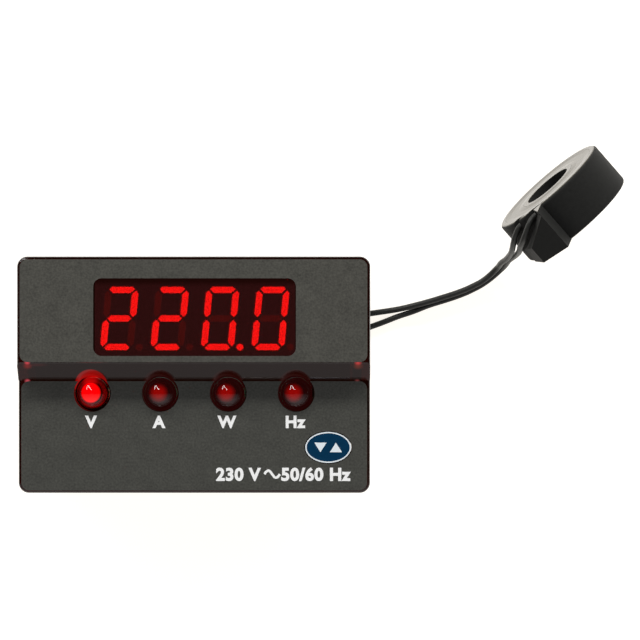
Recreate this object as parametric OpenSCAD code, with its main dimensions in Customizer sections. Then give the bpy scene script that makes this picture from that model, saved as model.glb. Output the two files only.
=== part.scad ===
// Miniature AC panel meter with a four-digit display, four unit lamps, a select key
// and a separate ring-shaped current sensor on two thin leads.
// The meter lies on its back: +Z points out of its face, +X to its right, +Y to its top edge.
// The origin is the middle of the rear cover's flat outer face. All sizes are millimetres.

/* [Face] */
// Width of the bezel
face_w = 54.6; // [53:0.1:60]
// Height of the bezel
face_h = 36.7; // [36:0.1:42]
// Radius of the bezel's corners
face_corner_r = 1.6; // [1:0.1:3]
// Rounding of the bezel's front edges
face_edge_r = 0.5; // [0.2:0.1:0.8]
// How far the display block stands above the lower panel
step_h = 2.75; // [2:0.05:3.2]
// How far the sloping face between them runs down the front
slope_run = 2.75; // [2:0.05:3.2]
// Height of the display block's flat top, from the bezel's upper edge to the slope
block_h = 16.45; // [16:0.05:18]
// Thickness of the bezel behind the lower panel
bezel_t = 3.2; // [2:0.1:5]
// How far the bezel overhangs the body on each side
bezel_over = 1.3; // [0.8:0.1:1.3]

/* [Walls] */
// Thickness of the front wall
front_wall = 1.4; // [1:0.1:1.6]
// Thickness of the body's side walls
side_wall = 1.4; // [1:0.1:1.4]
// Thickness of the rear cover
cover_t = 1.4; // [1:0.1:2]
// Gap all round the rear cover and the boards
edge_gap = 0.15; // [0.1:0.05:0.4]

/* [Labels] */
// Thickness of the printed labels
label_t = 0.15; // [0.1:0.05:0.3]
// Distance from the bezel's outline to a label
label_inset = 0.45; // [0.3:0.05:0.8]
// Radius of the labels' outer corners
label_r = 1.2; // [0.8:0.1:2]
// Width of the window for the display
window_w = 31.3; // [30:0.1:33]
// Height of the window for the display
window_h = 12; // [11:0.1:12.4]
// Radius of the window's corners
window_r = 1.3; // [0.8:0.1:2]
// How far the window lies right of the middle
window_x = 0.16; // [-0.5:0.02:0.5]
// Distance from the window's middle to the upper edge of the bezel
window_edge = 9.38; // [9:0.01:9.6]

/* [Display] */
// Height of a digit
digit_h = 10; // [8:0.1:10.4]
// Width of a digit
digit_w = 5.3; // [4.6:0.1:5.6]
// Distance between two digits
digit_pitch = 7.8; // [7.6:0.1:7.8]
// Thickness of a segment
segment_t = 1.16; // [0.8:0.02:1.3]
// Gap between neighbouring segments
segment_gap = 0.16; // [0.1:0.02:0.3]
// Lean of the digits
digit_slant = 5.4; // [0:0.2:8]
// Radius of a decimal point
point_r = 0.62; // [0.4:0.02:0.7]
// Thickness of the display module
module_t = 6.4; // [5:0.1:6.6]

/* [Lamps] */
// Distance between two lamps
lamp_pitch = 10.55; // [9.6:0.05:10.8]
// Distance from the lamps' middle line to the foot of the slope
lamp_below = 2; // [1.8:0.05:2.6]
// Radius of a lamp's lens
lamp_r = 2.5; // [2:0.1:2.6]
// How far a lens stands out of the lower panel
lamp_out = 1.6; // [0.5:0.1:2.4]
// Radial gap between a lens and its hole
lamp_gap = 0.25; // [0.1:0.05:0.3]

/* [Select key] */
// Width of the oval key
key_w = 7.1; // [5:0.1:7.2]
// Height of the oval key
key_h = 4.8; // [3.6:0.1:5.2]
// Distance from the key's middle to the right edge of the bezel
key_edge_x = 6.5; // [6:0.1:8]
// Distance from the key's middle to the lower edge of the bezel
key_edge_y = 7.1; // [6.5:0.05:8]
// Travel of the key
key_travel = 0.25; // [0.15:0.05:0.25]
// Gap between the key and its hole
key_gap = 0.08; // [0.05:0.01:0.1]

/* [Boards] */
// Thickness of the two circuit boards
board_t = 1.2; // [1:0.1:1.6]
// Distance from the rear cover's outer face to the main board
main_board_z = 8.6; // [8:0.1:12]
// Distance between the two boards
board_gap = 6.4; // [5.8:0.1:9]
// Radius of the pillars that hold the boards
pillar_r = 1.5; // [1.3:0.1:1.8]
// Radius of the pillars' end pegs
peg_r = 0.8; // [0.5:0.1:0.9]

/* [Terminals] */
// Distance between the two terminals
pole_pitch = 5; // [5:0.1:5.4]
// Distance from the terminal block's middle to the left edge of the bezel
terminal_edge = 15.3; // [14:0.1:18]
// Depth of the terminal block from its wire side to its back
terminal_d = 7.6; // [7.2:0.1:8]
// Travel of a wire clamp
clamp_travel = 1.2; // [0.8:0.1:1.2]
// Radius of a clamp screw's shank
clamp_screw_r = 1.15; // [0.9:0.05:1.2]

/* [Snap arms] */
// Width of the two arms that grip the panel
arm_w = 7; // [5:0.1:8]
// Distance of the arms below the middle
arm_drop = 4; // [3:0.1:5]
// How far the largest tooth stands out of the body
arm_tooth = 0.9; // [0.5:0.05:0.9]

/* [Sensor] */
// Outer radius of the sensor's ring
sensor_r = 9.85; // [9.4:0.05:12]
// Radius of the hole for the measured conductor
sensor_bore_r = 4.05; // [3:0.05:4.3]
// Thickness of the sensor
sensor_t = 7.4; // [6.4:0.1:9]
// Wall of the sensor's case
sensor_wall = 0.9; // [0.7:0.05:1]
// Rounding of the ring's edges
sensor_edge_r = 0.5; // [0.2:0.05:0.6]
// How far the standing sensor leans back
sensor_lean = 8.2; // [0:0.1:15]
// Distance from the ring's centre to the end of the boss
boss_reach = 12.4; // [12:0.1:15]
// Width of the boss's flat end
boss_w = 5.7; // [3.5:0.1:6]
// Depth of the lead recess at the outer corner of the boss
recess_d = 4.4; // [3.5:0.1:5]

/* [Hidden] */
$fn = 48;
past = 1;                                     // how far a cut runs past the solid
seat = 0.1;                                   // gap between pieces that are fitted loosely

// Levels, from the back to the front
main_front_z = main_board_z + board_t;
display_board_z = main_front_z + board_gap;
display_front_z = display_board_z + board_t;
module_z = display_front_z + module_t;
upper_in_z = module_z + 2 * seat;
case_depth = upper_in_z + front_wall;
lower_z = case_depth - step_h;
bezel_z = lower_z - bezel_t;
lower_in_z = lower_z - front_wall;

// Plan sizes
body_w = face_w - 2 * bezel_over;
body_h = face_h - 2 * bezel_over;
body_r = 1.2;
in_w = body_w - 2 * side_wall;
in_h = body_h - 2 * side_wall;
in_r = 0.6;
board_w = in_w - 4 * edge_gap;
board_h = in_h - 4 * edge_gap;
key_x = face_w / 2 - key_edge_x;
key_drop = face_h / 2 - key_edge_y;
terminal_left = face_w / 2 - terminal_edge;

// The sloping face
slope_top_y = face_h / 2 - block_h;
slope_low_y = slope_top_y - slope_run;
window_y = face_h / 2 - window_edge;
lamp_drop = lamp_below - slope_low_y;
slope_angle = atan2(step_h, slope_run);
slope_shift = front_wall * tan(slope_angle / 2);
slope_round = 0.3;

// Pillars: two at the top corners, one at the bottom left and one beside the key
pillar_x = in_w / 2 - pillar_r - 1.2;
pillar_y = in_h / 2 - pillar_r - 0.9;
pillar_key_x = key_x - key_w / 2 - 2 * pillar_r;
pillars = [
    [-pillar_x, pillar_y], [pillar_x, pillar_y], [-pillar_x, -pillar_y], [pillar_key_x, -pillar_y]
];
peg_gap = 0.1;
peg_over = 0.6;                               // length of a peg past the board

// Rounded rectangle about the origin
module plate(w, h, r) {
    square([w - 2 * r, h], center = true);
    square([w, h - 2 * r], center = true);
    for (x = [-1, 1], y = [-1, 1])
        translate([x * (w / 2 - r), y * (h / 2 - r)]) circle(r);
}

// Quarter of a disc in the quadrant that sx and sy point to
module quarter(r, sx, sy) {
    intersection() {
        circle(r);
        translate([sx > 0 ? 0 : -r, sy > 0 ? 0 : -r]) square(r);
    }
}

// Rounded block from z0 to z1 whose upper edges are rounded by re
module soft_block(w, h, r, re, z0, z1) {
    translate([0, 0, z0]) linear_extrude(z1 - re - z0) plate(w, h, r);
    translate([0, 0, z1 - re]) linear_extrude(re) plate(w - 2 * re, h - 2 * re, r - re);
    for (s = [-1, 1]) {
        translate([-w / 2 + r, s * (h / 2 - re), z1 - re])
            rotate([90, 0, 90]) linear_extrude(w - 2 * r) quarter(re, s, 1);
        translate([s * (w / 2 - re), h / 2 - r, z1 - re])
            rotate([90, 0, 0]) linear_extrude(h - 2 * r) quarter(re, s, 1);
    }
    for (corner = [[1, 1, 0], [-1, 1, 90], [-1, -1, 180], [1, -1, 270]])
        translate([corner[0] * (w / 2 - r), corner[1] * (h / 2 - r), z1 - re])
            rotate([0, 0, corner[2]]) rotate_extrude(angle = 90)
                translate([r - re, 0]) quarter(re, 1, 1);
}

// Extrusion along X of a profile drawn in Y and Z
module along_x(length) {
    rotate([90, 0, 90]) translate([0, 0, -length / 2]) linear_extrude(length) children();
}

// Oval whose points follow the ellipse of the given width and height
oval_sides = 48;
module oval(w, h) {
    polygon([for (i = [0 : oval_sides - 1])
        [w / 2 * cos(360 * i / oval_sides), h / 2 * sin(360 * i / oval_sides)]]);
}

// ---------------------------------------------------------------- front case

// Profile of the display block: the slope runs into its top through a rounded edge
round_steps = 6;
module block_profile() {
    cy = slope_top_y + slope_round * tan(slope_angle / 2);
    cz = case_depth - slope_round;
    arc = [for (i = [0 : round_steps])
        let (a = 90 + slope_angle * i / round_steps)
        [cy + slope_round * cos(a), cz + slope_round * sin(a)]];
    polygon(concat([[face_h, bezel_z], [face_h, case_depth]], arc,
        [[slope_low_y, lower_z], [slope_low_y, bezel_z]]));
}

// Profile of the space inside, one front wall behind the lower panel, the slope and the block
module cavity_profile() {
    polygon([
        [-face_h, -past], [-face_h, lower_in_z], [slope_low_y + slope_shift, lower_in_z],
        [slope_top_y + slope_shift, upper_in_z], [face_h, upper_in_z], [face_h, -past]
    ]);
}

module front_shell() {
    soft_block(face_w, face_h, face_corner_r, face_edge_r, bezel_z, lower_z);
    intersection() {
        soft_block(face_w, face_h, face_corner_r, face_edge_r, bezel_z, case_depth);
        along_x(face_w + 2 * past) block_profile();
    }
    linear_extrude(bezel_z) plate(body_w, body_h, body_r);
}

module cavity() {
    intersection() {
        translate([0, 0, -past]) linear_extrude(case_depth) plate(in_w, in_h, in_r);
        along_x(in_w + 2 * past) cavity_profile();
    }
}

// The opening around a snap arm, and the arm with its three teeth
arm_slot = 0.8;
arm_root_z = 5;
arm_end_z = bezel_z - arm_slot;
arm_t = 1;
tooth_h = 2.4;
teeth = 3;
module arm_window(side) {
    translate([side * (body_w / 2 - side_wall / 2), -arm_drop, (arm_root_z + bezel_z) / 2])
        cube([side_wall + 2 * past, arm_w + 2 * arm_slot, bezel_z - arm_root_z], center = true);
}

// Each tooth rises towards the bezel, and the ones nearer to it stand out less
module snap_arm(side) {
    profile = concat(
        [[-arm_t, arm_root_z - past], [0, arm_root_z - past],
            [0, arm_end_z - (teeth + 1) * tooth_h]],
        [for (i = [teeth - 1 : -1 : 0], top = [0, 1])
            let (z = arm_end_z - i * tooth_h, out = arm_tooth * (i + 1) / teeth)
            top == 0 ? [out, z - 0.3] : [out * i / (i + 1), z]],
        [[-arm_t, arm_end_z]]);
    translate([side * body_w / 2, -arm_drop, 0]) mirror([side > 0 ? 0 : 1, 0, 0])
        translate([0, arm_w / 2, 0]) rotate([90, 0, 0]) linear_extrude(arm_w) polygon(profile);
}

// Windows in the top and bottom walls that take the rear cover's hooks
hook_w = 4;
hook_t = 1;
hook_z = 6.6;                                 // top of a hook
hook_barb_h = 1.4;
hook_barb = 0.6;
hook_x = 15;
hooks = [[-hook_x, 1], [hook_x, 1], [0, -1], [hook_x - hook_w, -1]];
module hook_window(hook) {
    translate([hook[0], hook[1] * (body_h / 2 - side_wall / 2), hook_z - hook_barb_h / 2 - 0.3])
        cube([hook_w + 4 * seat, side_wall + 2 * past, hook_barb_h + 2 * seat], center = true);
}

// Notch in the right wall through which the two sensor leads leave
lead_notch_y = 6.9;
lead_notch_w = 7.4;
lead_notch_h = 2.2;
module lead_notch(depth) {
    translate([in_w / 2 - depth, lead_notch_y - lead_notch_w / 2, -past])
        cube([depth + side_wall + past, lead_notch_w, lead_notch_h + past]);
}

// Posts behind the front wall, against which the display board rests
module front_post(at) {
    top = at[1] > 0 ? upper_in_z : lower_in_z;
    translate([at[0], at[1], display_front_z]) difference() {
        cylinder(r = pillar_r, h = top + front_wall / 2 - display_front_z);
        translate([0, 0, -past]) cylinder(r = peg_r + peg_gap, h = peg_over + 0.3 + past);
    }
}

module front_case() {
    color([0.24, 0.03, 0.04, 0.8]) union() {
        difference() {
            front_shell();
            cavity();
            for (i = [0 : 3])
                translate([lamp_x(i), -lamp_drop, lower_in_z - past])
                    cylinder(r = lamp_r + lamp_gap, h = case_depth);
            translate([key_x, -key_drop, lower_in_z - past])
                linear_extrude(case_depth) oval(key_w + 2 * key_gap, key_h + 2 * key_gap);
            for (side = [-1, 1])
                arm_window(side);
            for (hook = hooks)
                hook_window(hook);
            lead_notch(past);
            translate([-terminal_left, -body_h / 2 + side_wall / 2, main_board_z / 2 - past / 2 - seat])
                cube([shroud_in_w, side_wall + 2 * past, main_board_z + past - 2 * seat], center = true);
        }
        for (side = [-1, 1])
            snap_arm(side);
        for (at = pillars)
            front_post(at);
    }
}

// ---------------------------------------------------------------- labels

// Outline of a label between two heights of the face
module label_outline(y0, y1) {
    translate([0, (y0 + y1) / 2]) plate(face_w - 2 * label_inset, y1 - y0, label_r);
}

module upper_label() {
    color([0.30, 0.30, 0.28]) translate([0, 0, case_depth]) linear_extrude(label_t) difference() {
        label_outline(slope_top_y + slope_round * tan(slope_angle / 2), face_h / 2 - label_inset);
        translate([window_x, window_y]) plate(window_w, window_h, window_r);
    }
}

label_ring = 0.12;                            // how far the label's holes clear the case's holes
module lower_label() {
    color([0.26, 0.26, 0.24]) translate([0, 0, lower_z]) linear_extrude(label_t) difference() {
        label_outline(-face_h / 2 + label_inset, slope_low_y - label_ring);
        for (i = [0 : 3])
            translate([lamp_x(i), -lamp_drop]) circle(lamp_r + lamp_gap + label_ring);
        translate([key_x, -key_drop])
            oval(key_w + 2 * key_gap + label_ring, key_h + 2 * key_gap + label_ring);
    }
}

// ---------------------------------------------------------------- select key and switch

switch_w = 4.5;
switch_z = lower_in_z - 1;                    // top of the switch body
plunger_r = 1.5;
lug_w = 3;
lug_t = 0.5;
lug_over = 0.7;
key_top_z = lower_z + label_t + 0.05;
key_lug_z = lower_in_z - 0.05 - lug_t;

module select_key() {
    color([0.02, 0.22, 0.38]) translate([key_x, -key_drop, 0]) union() {
        translate([0, 0, key_lug_z]) linear_extrude(key_top_z - key_lug_z) oval(key_w, key_h);
        translate([-lug_w / 2, -key_h / 2 - lug_over, key_lug_z])
            cube([lug_w, key_h + 2 * lug_over, lug_t]);
    }
}

plunger_in = 1;
module switch_plunger() {
    color("dimgray") translate([key_x, -key_drop, switch_z - plunger_in])
        cylinder(r = plunger_r, h = key_lug_z - switch_z + plunger_in);
}

module switch_body() {
    color([0.12, 0.12, 0.12]) translate([key_x, -key_drop, display_front_z]) difference() {
        translate([-switch_w / 2, -switch_w / 2, 0])
            cube([switch_w, switch_w, switch_z - display_front_z]);
        translate([0, 0, switch_z - display_front_z - plunger_in - key_travel - seat])
            cylinder(r = plunger_r + key_gap, h = case_depth);
    }
}

// ---------------------------------------------------------------- display

slant = tan(digit_slant);
corner_cut = 1.05;                            // cut of a digit's outer corners
mitre = segment_gap * sqrt(2) / 2;
half_w = digit_w / 2;
half_h = digit_h / 2;
digit_y = window_y - 0.2;
segment_depth = 1;

function lean(points) = [for (p = points) [p[0] + p[1] * slant, p[1]]];
function flip_x(points) = [for (i = [len(points) - 1 : -1 : 0]) [-points[i][0], points[i][1]]];
function flip_y(points) = [for (i = [len(points) - 1 : -1 : 0]) [points[i][0], -points[i][1]]];

// Right half of the top segment, the upper right segment and the middle segment, before the lean
top_right = [
    [half_w - segment_t - mitre, half_h - segment_t],
    [half_w - corner_cut / 2 - mitre / 2, half_h - corner_cut / 2 + mitre / 2],
    [half_w - corner_cut, half_h]
];
segment_a = concat(top_right, flip_x(top_right));
segment_b = [
    [half_w - segment_t / 2, mitre],
    [half_w, segment_t / 2 + mitre],
    [half_w, half_h - corner_cut],
    [half_w - corner_cut / 2 + mitre / 2, half_h - corner_cut / 2 - mitre / 2],
    [half_w - segment_t, half_h - segment_t - mitre],
    [half_w - segment_t, segment_t / 2 + mitre]
];
middle_right = [
    [half_w - segment_t - mitre, -segment_t / 2],
    [half_w - segment_t / 2 - mitre, 0],
    [half_w - segment_t - mitre, segment_t / 2]
];
segment_g = concat(middle_right, flip_x(middle_right));

// Segments in the order a, b, c, d, e, f, g
segments = [
    segment_a, segment_b, flip_y(segment_b), flip_y(segment_a),
    flip_y(flip_x(segment_b)), flip_x(segment_b), segment_g
];
// Which segments are lit in each of the four digits, and which point is lit
two = [1, 1, 0, 1, 1, 0, 1];
zero = [1, 1, 1, 1, 1, 1, 0];
shown = [two, two, zero, zero];
point_lit = [0, 0, 1, 0];
point_at = [3.07, -half_h + point_r - 0.06];

function digit_x(i) = window_x + (i - 1.5) * digit_pitch;
function lamp_x(i) = (i - 1.5) * lamp_pitch;

// Light bars whose state is the given one
module light_bars(state) {
    for (i = [0 : 3]) translate([digit_x(i), digit_y]) {
        for (s = [0 : 6])
            if (shown[i][s] == state)
                polygon(lean(segments[s]));
        if (point_lit[i] == state)
            translate(point_at) circle(point_r);
    }
}

module_w = 4 * digit_pitch - 0.2;
module_h = digit_h + 2.8;
module display_housing() {
    color([0.10, 0.06, 0.06]) difference() {
        translate([window_x - module_w / 2, window_y - module_h / 2, display_front_z])
            cube([module_w, module_h, module_t]);
        translate([0, 0, module_z - segment_depth]) linear_extrude(segment_depth + past)
            union() {
                light_bars(0);
                light_bars(1);
            }
        for (at = pin_places)
            translate([at[0], at[1], display_front_z - past]) cylinder(r = pin_r + 0.1, h = pin_in + past);
    }
}

module lit_segments() {
    color([1, 0.1, 0.08]) translate([0, 0, module_z - segment_depth])
        linear_extrude(segment_depth) light_bars(1);
}

module unlit_segments() {
    color([0.25, 0.05, 0.06]) translate([0, 0, module_z - segment_depth])
        linear_extrude(segment_depth) light_bars(0);
}

// Two rows of six pins pass from the module through the display board
pin_r = 0.25;
pin_in = 1.5;
pin_out = 0.8;
pin_pitch = 2.54;
row_y = module_h / 2 - 1.1;
pin_places = [for (i = [0 : 5], s = [-1, 1])
    [window_x + (i - 2.5) * pin_pitch, window_y + s * row_y]];
module display_pins() {
    color("silver") for (at = pin_places)
        translate([at[0], at[1], display_board_z - pin_out])
            cylinder(r = pin_r, h = pin_out + board_t + pin_in);
}

// ---------------------------------------------------------------- lamps

lamp_flange = 0.4;
lamp_flange_h = 1;
module lamp(i) {
    tip = lower_z + lamp_out;
    translate([lamp_x(i), -lamp_drop, 0]) difference() {
        union() {
            translate([0, 0, display_front_z]) cylinder(r = lamp_r, h = tip - lamp_r - display_front_z);
            translate([0, 0, tip - lamp_r]) sphere(lamp_r);
            translate([0, 0, display_front_z]) cylinder(r = lamp_r + lamp_flange, h = lamp_flange_h);
        }
        translate([lamp_r, -lamp_r - past, display_front_z - past])
            cube([past, 2 * (lamp_r + past), lamp_flange_h + past]);
        for (at = lead_places)
            translate([at, 0, display_front_z - past]) cylinder(r = lamp_lead_r + 0.05, h = pin_in + past);
    }
}

module volts_lamp() {
    color([0.9, 0.05, 0.05]) lamp(0);
}

module amps_lamp() {
    color([0.35, 0.03, 0.03]) lamp(1);
}

module watts_lamp() {
    color([0.35, 0.03, 0.03]) lamp(2);
}

module hertz_lamp() {
    color([0.35, 0.03, 0.03]) lamp(3);
}

lamp_lead_r = 0.25;
lead_places = [-pin_pitch / 2, pin_pitch / 2];
module lamp_leads() {
    color("silver") for (i = [0 : 3], at = lead_places)
        translate([lamp_x(i) + at, -lamp_drop, display_board_z - pin_out])
            cylinder(r = lamp_lead_r, h = pin_out + board_t + pin_in);
}

// ---------------------------------------------------------------- boards

hole_r = 0.45;
module peg_holes() {
    for (at = pillars)
        translate(at) circle(peg_r + peg_gap);
}

module header_holes() {
    for (i = [0 : header_pins_n - 1])
        translate([header_pin_x(i), header_y]) circle(hole_r);
}

module display_board() {
    color([0.08, 0.28, 0.14]) translate([0, 0, display_board_z]) linear_extrude(board_t) difference() {
        plate(board_w, board_h, in_r);
        for (side = [-1, 1])
            translate([side * board_w / 2, -arm_drop]) square([2 * arm_tooth, arm_w + past], center = true);
        peg_holes();
        header_holes();
        for (at = pin_places)
            translate(at) circle(hole_r);
        for (i = [0 : 3], at = lead_places)
            translate([lamp_x(i) + at, -lamp_drop]) circle(hole_r);
    }
}

module main_board() {
    color([0.08, 0.28, 0.14]) translate([0, 0, main_board_z]) linear_extrude(board_t) difference() {
        plate(board_w, board_h, in_r);
        for (side = [-1, 1])
            translate([side * board_w / 2, -arm_drop]) square([2 * arm_tooth, arm_w + past], center = true);
        peg_holes();
        header_holes();
        for (side = [-1, 1])
            translate([-terminal_left + side * pole_pitch / 2, contact_pin_y]) circle(contact_pin_r + 0.1);
    }
}

// Spacers between the boards, with pegs that reach into the front posts and the cover's posts
module board_pillars() {
    color([0.85, 0.85, 0.80]) for (at = pillars)
        translate([at[0], at[1], 0]) union() {
            translate([0, 0, main_front_z]) cylinder(r = pillar_r, h = board_gap);
            translate([0, 0, main_board_z - peg_over])
                cylinder(r = peg_r, h = board_gap + 2 * board_t + 2 * peg_over);
        }
}

header_pins_n = 6;
header_x = pillar_key_x - pillar_r - 2 - header_pins_n * pin_pitch / 2;
header_y = -pillar_y;
header_d = 2.5;
function header_pin_x(i) = header_x + (i - (header_pins_n - 1) / 2) * pin_pitch;
header_pin_r = 0.32;
header_out = 0.7;
module board_header() {
    color([0.08, 0.08, 0.08]) translate([0, 0, main_front_z]) linear_extrude(board_gap) difference() {
        translate([header_x, header_y]) square([header_pins_n * pin_pitch, header_d], center = true);
        for (i = [0 : header_pins_n - 1])
            translate([header_pin_x(i), header_y]) circle(header_pin_r + 0.03);
    }
}

module header_pins() {
    color("gold") for (i = [0 : header_pins_n - 1])
        translate([header_pin_x(i), header_y, main_board_z - header_out])
            cylinder(r = header_pin_r, h = board_gap + 2 * board_t + 2 * header_out);
}

// ---------------------------------------------------------------- parts on the main board

// A chip body with a row of legs on each of the sides that are listed
leg_w = 0.35;
leg_out = 1;
leg_t = 0.2;
module chip(w, d, h, legs, pitch, turns) {
    stand_off = 0.1;
    translate([-w / 2, -d / 2, stand_off]) cube([w, d, h]);
    for (turn = turns, i = [0 : legs - 1])
        rotate([0, 0, turn]) translate([(i - (legs - 1) / 2) * pitch - leg_w / 2, 0, 0]) {
            reach = turn % 180 == 0 ? d / 2 : w / 2;
            translate([0, reach, 0]) cube([leg_w, leg_out, leg_t]);
            translate([0, reach, 0]) cube([leg_w, leg_t, h / 2]);
        }
}

// The chips are placed from the board's right edge, the rest from its left
chip_t = 1.2;
controller_w = 7;
controller_edge = 11.3;
controller_y = 3;
module controller_chip() {
    color([0.10, 0.10, 0.10]) translate([board_w / 2 - controller_edge, controller_y, main_front_z])
        chip(controller_w, controller_w, chip_t, 8, controller_w / 8.75, [0, 90, 180, 270]);
}

metering_size = [9.8, 3.9, 1.5];
metering_edge = 12.3;
metering_y = -6.5;
module metering_chip() {
    color([0.10, 0.10, 0.10]) translate([board_w / 2 - metering_edge, metering_y, main_front_z])
        chip(metering_size[0], metering_size[1], metering_size[2], 8, metering_size[0] / 8.2, [0, 180]);
}

capacitor_size = [13, 5.4, 4.8];
capacitor_edge = 4.8;
capacitor_y = 3.5;
module line_capacitor() {
    color([0.75, 0.62, 0.12]) translate([-board_w / 2 + capacitor_edge, capacitor_y, main_front_z])
        cube(capacitor_size);
}

filter_r = 2.5;
filter_l = 10.5;
filter_gap = 1.2;
filter_y = 10.3;
crimp_at = 1.2;
crimp_w = 0.6;
crimp_depth = 0.25;
module filter_capacitor() {
    color([0.10, 0.13, 0.22])
        translate([
            -board_w / 2 + capacitor_edge + capacitor_size[0] + filter_gap, filter_y, main_front_z + filter_r
        ])
            rotate([0, 90, 0]) difference() {
                cylinder(r = filter_r, h = filter_l);
                translate([0, 0, crimp_at]) difference() {
                    cylinder(r = filter_r + past, h = crimp_w);
                    translate([0, 0, -past]) cylinder(r = filter_r - crimp_depth, h = crimp_w + 2 * past);
                }
            }
}

varistor_r = 3.6;
varistor_t = 3;
varistor_edge = 6.3;
varistor_y = -3;
module varistor() {
    color([0.10, 0.25, 0.55]) translate([-board_w / 2 + varistor_edge, varistor_y, main_front_z])
        cylinder(r = varistor_r, h = varistor_t);
}

fuse_r = 1.4;
fuse_l = 7;
fuse_cap = 1.5;
fuse_edge = 13.3;
fuse_gap = 1;
fuse_y = header_y + header_d / 2 + fuse_gap + fuse_r;
module fuse_resistor() {
    color([0.45, 0.62, 0.55]) translate([-board_w / 2 + fuse_edge, fuse_y, main_front_z + fuse_r])
        rotate([0, 90, 0]) union() {
            cylinder(r = fuse_r - 0.2, h = fuse_l);
            cylinder(r = fuse_r, h = fuse_cap);
            translate([0, 0, fuse_l - fuse_cap]) cylinder(r = fuse_r, h = fuse_cap);
        }
}

bridge_size = [6.6, 6, 2.6];
bridge_edge = 19.8;
bridge_y = -2;
module bridge_rectifier() {
    color([0.12, 0.12, 0.12]) translate([-board_w / 2 + bridge_edge, bridge_y, main_front_z])
        chip(bridge_size[0], bridge_size[1], bridge_size[2], 2, bridge_size[0] / 1.65, [0, 180]);
}

// ---------------------------------------------------------------- rear cover

cover_w = in_w - 2 * edge_gap;
cover_h = in_h - 2 * edge_gap;
shroud_wall = 1;
terminal_w = 2 * pole_pitch + 0.2;
shroud_in_w = terminal_w + 0.6;
terminal_y = -in_h / 2 + 2.6;                 // wire side of the terminal block
shroud_in_y = terminal_y + terminal_d + 0.3;

module cover_hook(hook) {
    root = [
        [0, 0], [0, hook_z - 1.6], [hook_barb, hook_z - 1.6], [0, hook_z], [-hook_t, hook_z], [-hook_t, 0]
    ];
    translate([hook[0], hook[1] * cover_h / 2, 0]) mirror([0, hook[1] > 0 ? 0 : 1, 0])
        translate([-hook_w / 2, 0, 0]) rotate([90, 0, 90]) linear_extrude(hook_w) polygon(root);
}

module rear_cover() {
    color([0.13, 0.12, 0.12]) union() {
        difference() {
            union() {
                linear_extrude(cover_t) plate(cover_w, cover_h, in_r);
                translate([-terminal_left - shroud_in_w / 2 - shroud_wall, -cover_h / 2, 0])
                    cube([shroud_in_w + 2 * shroud_wall, shroud_in_y + shroud_wall + cover_h / 2,
                        main_board_z - seat]);
            }
            translate([-terminal_left - shroud_in_w / 2, -face_h / 2, -past])
                cube([shroud_in_w, shroud_in_y + face_h / 2, main_board_z + 2 * past]);
            lead_notch(6.5);
        }
        for (at = pillars)
            cover_post(at);
        for (hook = hooks)
            cover_hook(hook);
    }
}

// Posts that press the main board against the pillars
module cover_post(at) {
    difference() {
        translate([at[0], at[1], cover_t]) cylinder(r = pillar_r, h = main_board_z - cover_t);
        translate([at[0], at[1], main_board_z - peg_over - 0.3]) cylinder(r = peg_r + peg_gap, h = past * 2);
    }
}

// ---------------------------------------------------------------- terminal block

block_face_z = 0.6;                           // its screw side, inside the cover's outer face
head_z = 0.8;
head_h = 0.9;
head_r = 1.7;
head_gap = 0.15;
chamber_w = 3.8;
chamber_d = 4.6;
chamber_y = terminal_y + 1;
chamber_z = 1.75;
clamp_wall = 0.5;
clamp_play = 0.1;
clamp_z = chamber_z + 0.05 + clamp_travel;    // head side of an open clamp
clamp_end_z = main_board_z - 0.7;
contact_z = 4.4;
contact_t = 0.5;
entry_z = contact_z + contact_t;              // wires go in between the contact and the clamp
contact_w = 2.2;
contact_pin_r = 0.5;
contact_pin_edge = 1.2;
contact_pin_y = terminal_y + terminal_d - contact_pin_edge;
contact_end_y = chamber_y + 0.6;
screw_y = chamber_y + chamber_d / 2;

function pole_x(side) = -terminal_left + side * pole_pitch / 2;

module terminal_block() {
    color([0.10, 0.35, 0.22]) difference() {
        translate([-terminal_left - terminal_w / 2, terminal_y, block_face_z])
            cube([terminal_w, terminal_d, main_board_z - block_face_z]);
        for (side = [-1, 1]) {
            translate([pole_x(side) - chamber_w / 2, chamber_y, chamber_z])
                cube([chamber_w, chamber_d, main_board_z]);
            translate([pole_x(side), screw_y, 0]) cylinder(r = head_r + head_gap, h = chamber_z + past);
            translate([pole_x(side) - chamber_w / 2 + 0.4, terminal_y - past, entry_z])
                cube([chamber_w - 0.8, 2 * past + 1, clamp_end_z - clamp_wall - entry_z]);
            translate([pole_x(side) - contact_w / 2 - 0.1, chamber_y, contact_z - 0.1])
                cube([contact_w + 0.2, terminal_d, contact_t + 0.2]);
            translate([pole_x(side), contact_pin_y, contact_z])
                cylinder(r = contact_pin_r + 0.1, h = main_board_z);
        }
    }
}

// Each contact is a strip inside the clamp, turned down into a pin through the board
module terminal_contacts() {
    color("silver") for (side = [-1, 1]) union() {
        translate([pole_x(side) - contact_w / 2, contact_end_y, contact_z])
            cube([contact_w, contact_pin_y + contact_pin_r - contact_end_y, contact_t]);
        translate([pole_x(side), contact_pin_y, contact_z])
            cylinder(r = contact_pin_r, h = main_front_z + pin_out - contact_z);
    }
}

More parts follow.
